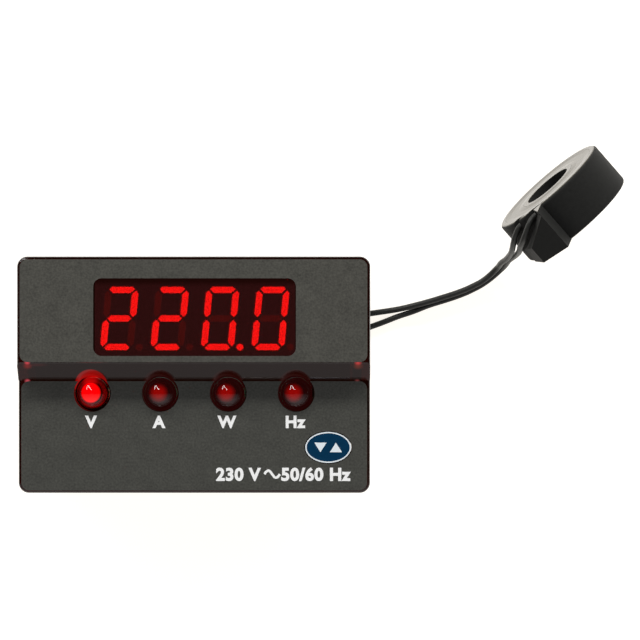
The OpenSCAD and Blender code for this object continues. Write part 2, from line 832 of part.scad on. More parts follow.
// A clamp is a square hoop that the screw draws towards its head
module clamp(side) {
    outer_w = chamber_w - 2 * clamp_play;
    outer_d = chamber_d - 2 * clamp_play;
    color([0.75, 0.73, 0.65]) difference() {
        translate([pole_x(side) - outer_w / 2, chamber_y + clamp_play, clamp_z])
            cube([outer_w, outer_d, clamp_end_z - clamp_z]);
        translate([pole_x(side) - outer_w / 2 + clamp_wall, chamber_y - past, clamp_z + clamp_wall + 0.1])
            cube([outer_w - 2 * clamp_wall, chamber_d + 2 * past,
                clamp_end_z - clamp_z - 2 * clamp_wall - 0.1]);
        translate([pole_x(side), screw_y, clamp_z - past])
            cylinder(r = clamp_screw_r + 0.08, h = clamp_wall + 2 * past);
    }
}

module clamp_left() {
    clamp(-1);
}

module clamp_right() {
    clamp(1);
}

slot_w = 0.5;
slot_d = 0.45;
module clamp_screw(side) {
    color([0.80, 0.80, 0.78]) translate([pole_x(side), screw_y, head_z]) difference() {
        union() {
            cylinder(r = head_r, h = head_h);
            cylinder(r = clamp_screw_r, h = contact_z - 0.1 - head_z);
        }
        translate([-head_r - past, -slot_w / 2, -past])
            cube([2 * (head_r + past), slot_w, past + slot_d]);
    }
}

module clamp_screw_left() {
    clamp_screw(-1);
}

module clamp_screw_right() {
    clamp_screw(1);
}

// ---------------------------------------------------------------- current sensor

// The ring stands on its rim and leans back. In its own frame +Z is its potted face and
// +Y points up.
sensor_x = 58.16;
sensor_y = 27.17;
sensor_turn = 221.9;
half_t = sensor_t / 2;
sensor_z = (sensor_r - sensor_edge_r) * cos(sensor_lean)
    + (half_t - sensor_edge_r) * sin(sensor_lean) + sensor_edge_r;
module place_sensor() {
    translate([sensor_x, sensor_y, sensor_z]) rotate([90 - sensor_lean, 0, sensor_turn]) children();
}

hub_r = sensor_bore_r + sensor_wall;
well_r = sensor_r - sensor_wall - 0.2;
floor_t = 1.1;
rim_h = 0.08;                                 // how far the potting lies below the rim

// The boss stands beside the ring's top: a flat end, a steep inner side and an outer side
// that runs down to the ring
boss_angle = 56;
boss_end_turn = 81;
boss_root_in = 69.5;
boss_root_out = 14;
function on_ring(a, r) = [r * cos(a), r * sin(a)];
boss_end = [
    on_ring(boss_angle, boss_reach) + on_ring(boss_angle + boss_end_turn, boss_w / 2),
    on_ring(boss_angle, boss_reach) - on_ring(boss_angle + boss_end_turn, boss_w / 2)
];
boss_outline = [
    on_ring(boss_root_in, sensor_r - 0.5), on_ring(boss_root_in, sensor_r), boss_end[0], boss_end[1],
    on_ring(boss_root_out, sensor_r), on_ring(boss_root_out, sensor_r - 0.5), [0, 0]
];

// The recess for the leads: a small step at the boss's inner corner, then a floor that slopes
// back to its outer side
recess_step = 0.95;
recess_in = boss_end[0][0];
recess_run = 8;
recess_fall = (recess_d - recess_step) / (boss_end[1][0] - recess_in) * recess_run;
recess_side = [
    [recess_in, half_t + past], [recess_in, half_t - recess_step],
    [recess_in + recess_run, half_t - recess_step - recess_fall], [recess_in + recess_run, half_t + past]
];

// Each lead leaves the well through a round-bottomed slot in the rim, cut along X
lead_angles = [39.5, 64.5];
lead_slot_r = 0.6;
lead_slot_in = 1;
lead_z = half_t - 1;

module ring_profile() {
    re = sensor_edge_r;
    translate([0, -half_t + re]) square([sensor_r, sensor_t - 2 * re]);
    translate([0, -half_t]) square([sensor_r - re, sensor_t]);
    for (s = [-1, 1])
        translate([sensor_r - re, s * (half_t - re)]) quarter(re, 1, s);
}

module lead_slot(run) {
    rotate([0, 90, 0]) cylinder(r = lead_slot_r, h = run);
    translate([0, -lead_slot_r, 0]) cube([run, 2 * lead_slot_r, half_t - lead_z + past]);
}

module sensor_case() {
    color([0.14, 0.14, 0.13]) place_sensor() difference() {
        union() {
            rotate_extrude() ring_profile();
            difference() {
                translate([0, 0, -half_t]) linear_extrude(sensor_t) polygon(boss_outline);
                rotate([90, 0, 0]) translate([0, 0, -boss_reach - boss_w])
                    linear_extrude(boss_reach + boss_w) polygon(recess_side);
            }
        }
        translate([0, 0, -half_t - past]) cylinder(r = sensor_bore_r, h = sensor_t + 2 * past);
        translate([0, 0, -half_t + floor_t]) difference() {
            cylinder(r = well_r, h = sensor_t);
            translate([0, 0, -past]) cylinder(r = hub_r, h = sensor_t + 2 * past);
        }
        for (a = lead_angles)
            translate([lead_slot_in, well_r * sin(a), lead_z]) lead_slot(sensor_r);
    }
}

winding_gap = 0.12;
winding_t = 0.8;
winding_half = half_t - floor_t - winding_gap - 0.9;
winding_mid = -half_t + floor_t + winding_gap + winding_half;
module hoop(r0, r1, h) {
    difference() {
        cylinder(r = r1, h = h, center = true);
        cylinder(r = r0, h = h + 2 * past, center = true);
    }
}

module sensor_core() {
    color([0.45, 0.45, 0.47]) place_sensor() translate([0, 0, winding_mid])
        hoop(hub_r + winding_gap + winding_t, well_r - winding_gap - winding_t, 2 * (winding_half - winding_t));
}

module sensor_winding() {
    color([0.62, 0.30, 0.12]) place_sensor() translate([0, 0, winding_mid]) difference() {
        hoop(hub_r + winding_gap, well_r - winding_gap, 2 * winding_half);
        hoop(hub_r + winding_gap + winding_t, well_r - winding_gap - winding_t, 2 * (winding_half - winding_t));
    }
}

potting_z = winding_mid + winding_half;
module sensor_potting() {
    color([0.10, 0.10, 0.09]) place_sensor() translate([0, 0, potting_z]) difference() {
        cylinder(r = well_r - 0.02, h = half_t - rim_h - potting_z);
        translate([0, 0, -past]) cylinder(r = hub_r + 0.02, h = sensor_t);
    }
}

// ---------------------------------------------------------------- sensor leads

lead_r = 0.475;
lead_sides = 8;

// Lead A: from the main board, out under the right wall, onto lead B, up beside the sensor on
// the outside of lead B and into the lower of its two slots
route_a = [
    [16.8, 8, 8.6], [16.8, 8, 7.2], [16.9, 8, 5.8], [17.3, 8.1, 4.3], [18.2, 8.2, 2.9],
    [19.5, 8.35, 1.7], [21.2, 8.6, 0.9], [23.2, 8.9, 0.55], [25.5, 9.25, 0.5], [27.8, 9.6, 0.5],
    [30.2, 9.95, 0.55], [32.6, 10.35, 0.85], [34.9, 10.9, 1.2], [37.12, 11.49, 1.3],
    [39.52, 12.22, 1.31], [41.91, 12.99, 1.32], [44.2, 13.95, 1.36], [46.19, 15.07, 1.45],
    [48.18, 16.92, 2.5], [48.72, 17.72, 4.6], [49.37, 18.25, 6.77], [49.73, 18.75, 8.7],
    [49.93, 19.17, 10.55], [50.01, 19.63, 12.21], [50.05, 20.21, 13.63], [50.13, 20.92, 14.76],
    [50.29, 21.72, 15.54], [50.56, 22.45, 15.94], [50.9, 23.13, 16.1]
];

// Lead B: the same way a little lower on the face, along the table under lead A, and into the
// upper slot
route_b = [
    [16.8, 4, 8.6], [16.8, 4, 7.2], [16.9, 4.05, 5.8], [17.3, 4.15, 4.3], [18.2, 4.4, 2.9],
    [19.5, 4.7, 1.7], [21.2, 5.2, 0.9], [23.1, 5.8, 0.55], [25.4, 6.6, 0.5], [27.7, 7.4, 0.5],
    [29.9, 8.2, 0.5], [32.2, 9.1, 0.5], [34.6, 9.9, 0.5], [37.27, 10.94, 0.5],
    [39.68, 11.69, 0.5], [42.09, 12.5, 0.5], [44.42, 13.51, 0.5], [46.45, 14.68, 0.5],
    [48.7, 16.54, 1], [49.43, 17.31, 2.4], [49.94, 18.13, 4.78], [50.51, 18.62, 7],
    [50.89, 18.95, 9.12], [51.06, 19.22, 11.35], [51.12, 19.55, 13.41], [51.12, 20.09, 15.23],
    [51.33, 20.74, 16.69], [51.62, 21.61, 17.77], [51.98, 22.64, 18.3], [52.38, 23.66, 18.52],
    [52.86, 24.47, 18.44]
];

function unit(v) = v / norm(v);
// Each lead ends in its slot, just clear of the potting
function lead_end(i) = [sensor_x, sensor_y, sensor_z]
    + turned(well_r * cos(lead_angles[i]) + lead_r * tan(lead_angles[i]), well_r * sin(lead_angles[i]));

// A point of the sensor's lead plane, turned into the place where the sensor stands
function turned(x, y) =
    let (out = y * sin(sensor_lean) - lead_z * cos(sensor_lean),
        up = y * cos(sensor_lean) + lead_z * sin(sensor_lean))
    [x * cos(sensor_turn) - out * sin(sensor_turn), x * sin(sensor_turn) + out * cos(sensor_turn), up];

// A tube of lead_sides sides whose rings are centred on the route's points
module lead(route) {
    n = len(route);
    aims = [for (i = [0 : n - 1]) unit(route[min(i + 1, n - 1)] - route[max(i - 1, 0)])];
    sides = [for (aim = aims) unit(cross(aim, [0.15, -0.25, 0.9]))];
    points = [for (i = [0 : n - 1], k = [0 : lead_sides - 1])
        let (a = 360 * (k + 0.5) / lead_sides)
        route[i] + lead_r * (cos(a) * sides[i] + sin(a) * cross(aims[i], sides[i]))];
    walls = [for (i = [0 : n - 2], k = [0 : lead_sides - 1])
        let (next = (k + 1) % lead_sides)
        [i * lead_sides + k, (i + 1) * lead_sides + k, (i + 1) * lead_sides + next, i * lead_sides + next]];
    start = [[for (k = [0 : lead_sides - 1]) k]];
    end = [[for (k = [lead_sides - 1 : -1 : 0]) (n - 1) * lead_sides + k]];
    polyhedron(points, concat(walls, start, end), convexity = 6);
}

module lead_a() {
    color([0.15, 0.15, 0.14]) lead(concat(route_a, [lead_end(0)]));
}

module lead_b() {
    color([0.15, 0.15, 0.14]) lead(concat(route_b, [lead_end(1)]));
}

front_case();
upper_label();
lower_label();
select_key();
switch_plunger();
switch_body();
display_housing();
lit_segments();
unlit_segments();
display_pins();
volts_lamp();
amps_lamp();
watts_lamp();
hertz_lamp();
lamp_leads();
display_board();
main_board();
board_pillars();
board_header();
header_pins();
controller_chip();
metering_chip();
line_capacitor();
filter_capacitor();
varistor();
fuse_resistor();
bridge_rectifier();
rear_cover();
terminal_block();
terminal_contacts();
clamp_left();
clamp_right();
clamp_screw_left();
clamp_screw_right();
sensor_case();
sensor_core();
sensor_winding();
sensor_potting();
lead_a();
lead_b();
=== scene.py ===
import math

import bpy
from mathutils import Matrix, Vector


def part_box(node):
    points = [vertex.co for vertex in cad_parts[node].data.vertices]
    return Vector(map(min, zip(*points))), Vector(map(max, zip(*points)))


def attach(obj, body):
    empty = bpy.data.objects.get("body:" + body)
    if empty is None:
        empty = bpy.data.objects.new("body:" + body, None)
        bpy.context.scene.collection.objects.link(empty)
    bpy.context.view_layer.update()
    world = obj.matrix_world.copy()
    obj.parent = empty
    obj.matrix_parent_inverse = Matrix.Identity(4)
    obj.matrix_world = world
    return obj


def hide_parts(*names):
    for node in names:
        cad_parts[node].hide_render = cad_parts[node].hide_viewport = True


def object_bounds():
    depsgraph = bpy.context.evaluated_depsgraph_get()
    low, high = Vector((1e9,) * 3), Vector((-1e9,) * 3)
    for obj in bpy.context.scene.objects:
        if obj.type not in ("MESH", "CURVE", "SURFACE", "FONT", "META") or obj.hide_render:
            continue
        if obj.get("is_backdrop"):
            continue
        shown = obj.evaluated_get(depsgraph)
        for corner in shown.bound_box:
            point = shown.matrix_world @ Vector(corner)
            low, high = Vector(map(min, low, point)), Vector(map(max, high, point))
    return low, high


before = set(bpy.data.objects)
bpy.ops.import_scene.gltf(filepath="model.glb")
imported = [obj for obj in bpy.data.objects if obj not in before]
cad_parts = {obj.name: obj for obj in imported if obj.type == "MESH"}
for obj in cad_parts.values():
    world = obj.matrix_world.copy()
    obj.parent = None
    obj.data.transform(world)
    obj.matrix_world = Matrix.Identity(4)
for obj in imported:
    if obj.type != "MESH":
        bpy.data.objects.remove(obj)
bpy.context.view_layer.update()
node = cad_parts
mm = 0.001


# ---------------------------------------------------------------- camera
# The meter lies on its back and is looked at from straight above, with its display upright.
# The camera is about half a metre up, over the middle of meter and sensor together.
def added(name, data):
    """A new object in the scene, made of the given data."""
    made = bpy.data.objects.new(name, data)
    bpy.context.scene.collection.objects.link(made)
    return made


face_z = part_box("upper_label")[1].z
camera_height = 480 * mm
shown_width = 98.8 * mm
shown_middle = (19.53 * mm, 8.53 * mm)
camera_data = bpy.data.cameras.new("camera")
camera_data.sensor_width = 36
camera_data.lens = camera_data.sensor_width * camera_height / shown_width
camera_data.clip_start = 0.01
camera = added("camera", camera_data)
camera.location = (*shown_middle, face_z + camera_height)
bpy.context.scene.camera = camera
bpy.context.scene.view_settings.view_transform = "Standard"

# ---------------------------------------------------------------- sensor leads
# Two thin stranded wires with black PVC insulation. They leave the main board, pass under
# the right wall, lie on the table and climb to the sensor, where they enter its winding.
routes = {
    "lead_a": [
        (16.8, 8, 8.6), (16.8, 8, 7.2), (16.9, 8, 5.8), (17.3, 8.1, 4.3), (18.2, 8.2, 2.9),
        (19.5, 8.35, 1.7), (21.2, 8.6, 0.9), (23.2, 8.9, 0.55), (25.5, 9.25, 0.5),
        (27.8, 9.6, 0.5), (30.2, 9.95, 0.55), (32.6, 10.35, 0.85), (34.9, 10.9, 1.2),
        (37.12, 11.49, 1.3), (39.52, 12.22, 1.31), (41.91, 12.99, 1.32), (44.2, 13.95, 1.36),
        (46.19, 15.07, 1.45), (48.18, 16.92, 2.5), (48.72, 17.72, 4.6), (49.37, 18.25, 6.77),
        (49.73, 18.75, 8.7), (49.93, 19.17, 10.55), (50.01, 19.63, 12.21),
        (50.05, 20.21, 13.63), (50.13, 20.92, 14.76), (50.29, 21.72, 15.54),
        (50.56, 22.45, 15.94), (50.9, 23.13, 16.1), (51.59, 23.8, 16.1),
    ],
    "lead_b": [
        (16.8, 4, 8.6), (16.8, 4, 7.2), (16.9, 4.05, 5.8), (17.3, 4.15, 4.3), (18.2, 4.4, 2.9),
        (19.5, 4.7, 1.7), (21.2, 5.2, 0.9), (23.1, 5.8, 0.55), (25.4, 6.6, 0.5),
        (27.7, 7.4, 0.5), (29.9, 8.2, 0.5), (32.2, 9.1, 0.5), (34.6, 9.9, 0.5),
        (37.27, 10.94, 0.5), (39.68, 11.69, 0.5), (42.09, 12.5, 0.5), (44.42, 13.51, 0.5),
        (46.45, 14.68, 0.5), (48.7, 16.54, 1), (49.43, 17.31, 2.4), (49.94, 18.13, 4.78),
        (50.51, 18.62, 7), (50.89, 18.95, 9.12), (51.06, 19.22, 11.35), (51.12, 19.55, 13.41),
        (51.12, 20.09, 15.23), (51.33, 20.74, 16.69), (51.62, 21.61, 17.77),
        (51.98, 22.64, 18.3), (52.38, 23.66, 18.52), (52.86, 24.47, 18.44),
        (53.58, 25.14, 18.41),
    ],
}
lead_diameter = 0.95 * mm


def feed(tree, socket, given):
    """Joins a socket to another one, or sets it to a value."""
    if isinstance(given, bpy.types.NodeSocket):
        tree.links.new(given, socket)
    else:
        socket.default_value = given


def worked_out(tree, kind, operation, *given):
    """What a math node, Math or VectorMath, makes of sockets and values. None skips an input."""
    made = tree.nodes.new("ShaderNode" + kind)
    made.operation = operation
    for socket, value in zip(made.inputs, given):
        if value is not None:
            feed(tree, socket, value)
    is_number = kind == "Math" or operation in ("DOT_PRODUCT", "LENGTH")
    return made.outputs["Value" if is_number else "Vector"]


def scaled_colour(tree, colour, factor):
    """A colour times a factor."""
    return worked_out(tree, "VectorMath", "SCALE", colour, None, None, factor)


def grain_group():
    """Fine grain of a moulded, coated or cast surface: lighter and darker specks, uneven
    gloss and a small relief, all from noise in the piece's own space."""
    group = bpy.data.node_groups.new("grain", "ShaderNodeTree")
    sockets = (
        ("Colour", "INPUT", "NodeSocketColor"), ("Contrast", "INPUT", "NodeSocketFloat"),
        ("Scale", "INPUT", "NodeSocketFloat"), ("Roughness", "INPUT", "NodeSocketFloat"),
        ("Spread", "INPUT", "NodeSocketFloat"), ("Colour", "OUTPUT", "NodeSocketColor"),
        ("Roughness", "OUTPUT", "NodeSocketFloat"), ("Height", "OUTPUT", "NodeSocketFloat"),
    )
    for name, way, kind in sockets:
        group.interface.new_socket(name=name, in_out=way, socket_type=kind)
    given, out = group.nodes.new("NodeGroupInput"), group.nodes.new("NodeGroupOutput")
    place = group.nodes.new("ShaderNodeTexCoord").outputs["Object"]
    patch_scale, patch_weight = 0.11, 0.35
    patches_a_metre = worked_out(group, "Math", "MULTIPLY", given.outputs["Scale"], patch_scale)
    noise = []
    for scale, detail in ((given.outputs["Scale"], 3), (patches_a_metre, 2)):
        texture = group.nodes.new("ShaderNodeTexNoise")
        texture.inputs["Detail"].default_value = detail
        feed(group, texture.inputs["Vector"], place)
        feed(group, texture.inputs["Scale"], scale)
        noise.append(texture.outputs["Fac"])
    specks, patches = noise
    both = worked_out(group, "Math", "MULTIPLY_ADD", patches, patch_weight, specks)
    centred = worked_out(group, "Math", "SUBTRACT", both, (1 + patch_weight) / 2)
    shade = worked_out(group, "Math", "MULTIPLY_ADD", centred, given.outputs["Contrast"], 1)
    feed(group, out.inputs["Colour"], scaled_colour(group, given.outputs["Colour"], shade))
    feed(group, out.inputs["Roughness"], worked_out(
        group, "Math", "MULTIPLY_ADD", centred, given.outputs["Spread"],
        given.outputs["Roughness"]))
    feed(group, out.inputs["Height"], specks)
    return group


grain = grain_group()


def grained(name, colour, roughness, contrast=0.2, scale=2500, spread=0.15, relief=0.004, **fixed):
    """A material whose colour, gloss and relief come from the grain, with the shader's other
    sockets set to fixed values. Scale is in specks a metre, relief in millimetres."""
    made = bpy.data.materials.new(name)
    made.use_nodes = True
    tree = made.node_tree
    shader = tree.nodes["Principled BSDF"]
    for socket, value in fixed.items():
        shader.inputs[socket.replace("_", " ")].default_value = value
    surface = tree.nodes.new("ShaderNodeGroup")
    surface.node_tree = grain
    surface.name = "grain"
    for socket, value in (
        ("Colour", (*colour, 1)), ("Contrast", contrast), ("Scale", scale),
        ("Roughness", roughness), ("Spread", spread),
    ):
        surface.inputs[socket].default_value = value
    bump = tree.nodes.new("ShaderNodeBump")
    bump.inputs["Distance"].default_value = relief * mm
    bump.inputs["Strength"].default_value = 1
    feed(tree, shader.inputs["Base Color"], surface.outputs["Colour"])
    feed(tree, shader.inputs["Roughness"], surface.outputs["Roughness"])
    feed(tree, bump.inputs["Height"], surface.outputs["Height"])
    feed(tree, shader.inputs["Normal"], bump.outputs["Normal"])
    return made


def coat(name, material):
    """Gives a CAD node its finish in every slot."""
    slots = node[name].data.materials
    for i in range(len(slots)):
        slots[i] = material
    if not len(slots):
        slots.append(material)


insulation = grained("lead insulation", (0.020, 0.020, 0.018), 0.45, contrast=0.5, scale=1800,
                     spread=0.2, relief=0.006, Specular_IOR_Level=0.35)
for name, points in routes.items():
    line = bpy.data.curves.new(name + "_wire", "CURVE")
    line.dimensions = "3D"
    line.resolution_u = 5
    line.bevel_depth = lead_diameter / 2
    line.bevel_resolution = 4
    line.use_fill_caps = True
    spline = line.splines.new("BEZIER")
    spline.bezier_points.add(len(points) - 1)
    for knot, point in zip(spline.bezier_points, points):
        knot.co = Vector(point) * mm
        knot.handle_left_type = knot.handle_right_type = "AUTO"
    line.materials.append(insulation)
    lead = added(name + "_wire", line)
    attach(lead, "root")
    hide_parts(name)

# ---------------------------------------------------------------- front case
# One moulding of clear dark red polycarbonate: bezel, stepped face and side walls with two
# snap arms. It is polished where it acts as the display's filter. Painted glow stands in for
# lamp light running inside it: an even dark red, glints at the ends of the step's edges, and a
# painted reflection and ring round each lamp's hole.
red_case = grained("red polycarbonate", (0.015, 0.0015, 0.0015), 0.03, contrast=0.03, scale=500,
                   spread=0.01, relief=0.0003, IOR=1.585, Transmission_Weight=1)


def faded(tree, value, start, end, low, high, shape="SMOOTHSTEP"):
    """A change from low to high while the value goes from start to end."""
    change = tree.nodes.new("ShaderNodeMapRange")
    change.interpolation_type = shape
    for socket, given in (("Value", value), ("From Min", start), ("From Max", end),
                          ("To Min", low), ("To Max", high)):
        feed(tree, change.inputs[socket], given)
    return change.outputs["Result"]


def add_glow(material, places):
    """Adds emission to a clear moulding or a chip, used both for a lit lamp's own light and for
    painted glow. Each place has its point, the stretch of each axis, the distance up to which it
    is even, that at which it is gone, and its colour."""
    tree = material.node_tree
    spot = tree.nodes.new("ShaderNodeTexCoord").outputs["Object"]
    total = None
    for at, stretch, even, gone, colour in places:
        gap = worked_out(tree, "VectorMath", "SUBTRACT", spot, Vector(at) * mm)
        stretched = worked_out(tree, "VectorMath", "MULTIPLY", gap, stretch)
        far = worked_out(tree, "VectorMath", "LENGTH", stretched)
        light = scaled_colour(tree, colour, faded(tree, far, even * mm, gone * mm, 1, 0))
        total = light if total is None else worked_out(tree, "VectorMath", "ADD", total, light)
    shader = tree.nodes["Principled BSDF"]
    feed(tree, shader.inputs["Emission Color"], total)
    shader.inputs["Emission Strength"].default_value = 1
    return material


def lamp_middle(name):
    """The middle of a lamp as seen from the front, in millimetres."""
    low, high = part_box(name + "_lamp")
    return (low.x + high.x) / 2 / mm, (low.y + high.y) / 2 / mm


lamps = ("volts", "amps", "watts", "hertz")
lower_label_low, lower_label_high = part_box("lower_label")
upper_label_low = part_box("upper_label")[0]
foot_y, foot_z = lower_label_high.y / mm, lower_label_low.z / mm
head_y, head_z = upper_label_low.y / mm, upper_label_low.z / mm
ball, disc = (1, 1, 1), (1, 1, 0)
painted_case_glow = [
    # a painted glow, an even dark red all over
    ((0, 0, 0), disc, 100, 200, (0.0055, 0.0008, 0)),
    # painted glints at the left ends of the step's upper and lower edges
    ((-25.7, head_y - 0.05, head_z), ball, 0, 0.6, (0.55, 0.035, 0.055)),
    ((-25.7, head_y - 0.6, head_z - 0.5), ball, 0, 0.9, (0.14, 0.004, 0.003)),
    ((-25.9, foot_y, foot_z), ball, 0, 0.6, (0.50, 0.07, 0.09)),
    # painted glints at the right ends
    ((25.4, head_y - 0.05, head_z), ball, 0, 0.75, (0.45, 0.018, 0.022)),
    ((25.4, head_y - 0.6, head_z - 0.5), ball, 0, 1.0, (0.10, 0.012, 0.004)),
    ((25.3, foot_y, foot_z), ball, 0, 0.55, (0.14, 0.03, 0.03)),
    # a painted glint streak along the slope, drawn out from the left end
    ((-24.2, head_y - 0.4, head_z - 0.35), (0.22, 1, 1), 0, 0.5, (0.025, 0.003, 0.004)),
]
for name in lamps:
    lamp_x, lamp_y = lamp_middle(name)
    lit = name == "volts"
    # a painted reflection of the lamp, a crescent in the slope beyond it, and a fainter painted
    # glow round its hole
    painted_case_glow += [
        ((lamp_x, lamp_y + 1.17, 0), disc, 2.45, 2.65,
         (0.22, 0.002, 0.002) if lit else (0.008, 0, 0)),
        ((lamp_x - 0.1, lamp_y + 0.15, 0), disc, 2.75, 2.95,
         (0.06, 0.002, 0.002) if lit else (0.008, 0.004, 0.004)),
    ]
add_glow(red_case, painted_case_glow)
depth_tint = red_case.node_tree.nodes.new("ShaderNodeVolumeAbsorption")
depth_tint.inputs["Color"].default_value = (0.6, 0.1, 0.1, 1)
depth_tint.inputs["Density"].default_value = 275
feed(red_case.node_tree, red_case.node_tree.nodes["Material Output"].inputs["Volume"],
     depth_tint.outputs["Volume"])
coat("front_case", red_case)

# ---------------------------------------------------------------- labels
# Two die-cut sheets of dark grey polyester with a fine matt grain, stuck to the two levels of
# the face. Their marks are screen-printed in white ink.
upper_grey = grained("grey label", (0.066, 0.064, 0.054), 0.55, contrast=1.3, scale=3200,
                     spread=0.2, relief=0.006, IOR=1.45)
# The lower sheet is given a darker grey than the upper one: painted shade on the lower level.
lower_grey_painted_shade = grained("grey label below", (0.056, 0.056, 0.048), 0.55, contrast=1.3, scale=3200,
                     spread=0.2, relief=0.006, IOR=1.45)
coat("upper_label", upper_grey)
coat("lower_label", lower_grey_painted_shade)
white_ink = grained("white ink", (0.95, 0.95, 0.94), 0.5, contrast=0.06, scale=4000,
                    spread=0.1, relief=0.001, IOR=1.45)
lower_face_z = lower_label_high.z
ink_t = 0.015 * mm
capital_share, boldness = 0.729, 0.06


def printed(name, words, x, y, height, align="CENTER"):
    """One word of print on the lower label whose capitals have the given height. x is its
    middle or its right end, y its foot, in millimetres."""
    text = bpy.data.curves.new(name, "FONT")
    text.body = words
    text.align_x = align
    text.size = height / capital_share * mm
    text.offset = boldness * height * mm
    text.extrude = ink_t / 2
    text.resolution_u = 4
    text.space_character = 1.08
    text.materials.append(white_ink)
    mark = added(name, text)
    mark.location = (x * mm, y * mm, lower_face_z + ink_t / 2)
    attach(mark, "root")


def solid(name, vertices, faces, material):
    """A new object with the given corners, in metres, and faces, all of one material."""
    mesh = bpy.data.meshes.new(name)
    mesh.from_pydata(vertices, [], faces)
    mesh.update()
    mesh.materials.append(material)
    return added(name, mesh)


def drawn(name, outlines, z, body, material):
    """A flat mark of ink made of closed outlines, given in metres."""
    vertices, faces = [], []
    for outline in outlines:
        start, count = len(vertices), len(outline)
        vertices += [(x, y, z) for x, y in outline] + [(x, y, z + ink_t) for x, y in outline]
        faces.append([start + i for i in reversed(range(count))])
        faces.append([start + count + i for i in range(count)])
        faces += [(start + i, start + (i + 1) % count, start + count + (i + 1) % count,
                   start + count + i) for i in range(count)]
    mark = solid(name, vertices, faces, material)
    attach(mark, body)


caption_y, caption_h = -8.15, 1.85
for name, words in zip(lamps, ("V", "A", "W", "Hz")):
    printed(name + "_mark", words, lamp_middle(name)[0], caption_y, caption_h)
row_y, row_h = -16.35, 1.95
voltage_end, frequency_end = 10.2, 24.15
printed("frequency_mark", "50/60 Hz", frequency_end, row_y, row_h, align="RIGHT")
printed("voltage_mark", "230 V", voltage_end, row_y, row_h, align="RIGHT")
wave_steps = 32
wave_w, wave_h, wave_half_t = 2.4 * mm, 0.55 * mm, 0.19 * mm
wave_x, wave_y = 10.9 * mm, (row_y + 0.95) * mm
upper, under = [], []
for i in range(wave_steps + 1):
    turn = 2 * math.pi * i / wave_steps
    lean = math.atan(wave_h * math.cos(turn) * 2 * math.pi / wave_w)
    middle = Vector((wave_x + wave_w * i / wave_steps, wave_y + wave_h * math.sin(turn)))
    aside = Vector((-math.sin(lean), math.cos(lean))) * wave_half_t
    upper.append(middle + aside)
    under.append(middle - aside)
drawn("wave_mark", [[tuple(point) for point in under + upper[::-1]]], lower_face_z, "root",
      white_ink)

# ---------------------------------------------------------------- select key
# An oval cap of blue acrylic with a printed white rim and two white triangles. It stands in
# its own hole in the case, on the plunger of a small push switch.
key_blue = grained("blue key", (0.001, 0.032, 0.080), 0.40, contrast=0.25, scale=2200,
                   spread=0.1, relief=0.003, Specular_IOR_Level=0.1)
coat("select_key", key_blue)
key_low, key_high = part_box("select_key")
key_x, key_y = (key_low.x + key_high.x) / 2, (key_low.y + key_high.y) / 2
key_half_w = (key_high.x - key_low.x) / 2
key_half_h = 2.4 * mm
rim_w = 0.2 * mm
rim_steps = 64
rim = [(half_w * math.cos(2 * math.pi * i / rim_steps) + key_x,
        half_h * math.sin(2 * math.pi * i / rim_steps) + key_y, level)
       for half_w, half_h, level in (
           (key_half_w, key_half_h, key_high.z),
           (key_half_w, key_half_h, key_high.z + ink_t),
           (key_half_w - rim_w, key_half_h - rim_w, key_high.z + ink_t),
           (key_half_w - rim_w, key_half_h - rim_w, key_high.z))
       for i in range(rim_steps)]


def bands(loops, steps, closed):
    """The faces between loops of corners that follow each other, with as many steps each."""
    faces = []
    for k in range(loops if closed else loops - 1):
        a, b = k * steps, (k + 1) % loops * steps
        faces += [(a + i, a + (i + 1) % steps, b + (i + 1) % steps, b + i) for i in range(steps)]
    return faces


key_white = grained("white key print", (0.80, 0.86, 0.90), 0.4, contrast=0.05, scale=4000,
                    spread=0.1, relief=0.001, IOR=1.49)
key_rim = solid("key_rim", rim, bands(4, rim_steps, True), key_white)
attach(key_rim, "key")
arrow_w, arrow_h, arrow_gap = 0.95 * mm, 0.75 * mm, 1.2 * mm
drawn("key_arrows",
      [[(key_x + side * arrow_gap - arrow_w, key_y - side * arrow_h),
        (key_x + side * arrow_gap + arrow_w, key_y - side * arrow_h),
        (key_x + side * arrow_gap, key_y + side * arrow_h)][::side]
       for side in (-1, 1)],
      key_high.z, "key", key_white)
coat("switch_plunger", grained("grey plunger", (0.10, 0.10, 0.10), 0.4))
coat("switch_body", grained("black switch body", (0.015, 0.015, 0.015), 0.45))

# ---------------------------------------------------------------- display
# A four-digit light bar module: a dark moulded housing whose cavities are cast full of clear
# epoxy over the light chips. The lit bars glow evenly. The unlit bars and the housing get a
# faint painted glow for the stray light they catch.
display_face = grained("dark display face", (0.03, 0.008, 0.010), 0.5, contrast=0.2)
tree = display_face.node_tree
level = tree.nodes.new("ShaderNodeSeparateXYZ")
feed(tree, level.inputs[0], tree.nodes.new("ShaderNodeTexCoord").outputs["Object"])
# Painted stray light from the chips, an emission on the housing, fades above the digits.
digits_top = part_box("lit_segments")[1].y
stray = faded(tree, level.outputs["Y"], digits_top - 0.2 * mm, digits_top + 0.9 * mm, 1, 0.3)
feed(tree, tree.nodes["Principled BSDF"].inputs["Emission Color"],
     scaled_colour(tree, (1.45, 3.3, 4.0), stray))
tree.nodes["Principled BSDF"].inputs["Emission Strength"].default_value = 1
coat("display_housing", display_face)
coat("lit_segments", grained("lit epoxy", (0.5, 0.02, 0.02), 0.4, contrast=0.05,
                             Emission_Color=(75, 6.2, 6.2, 1), Emission_Strength=1))
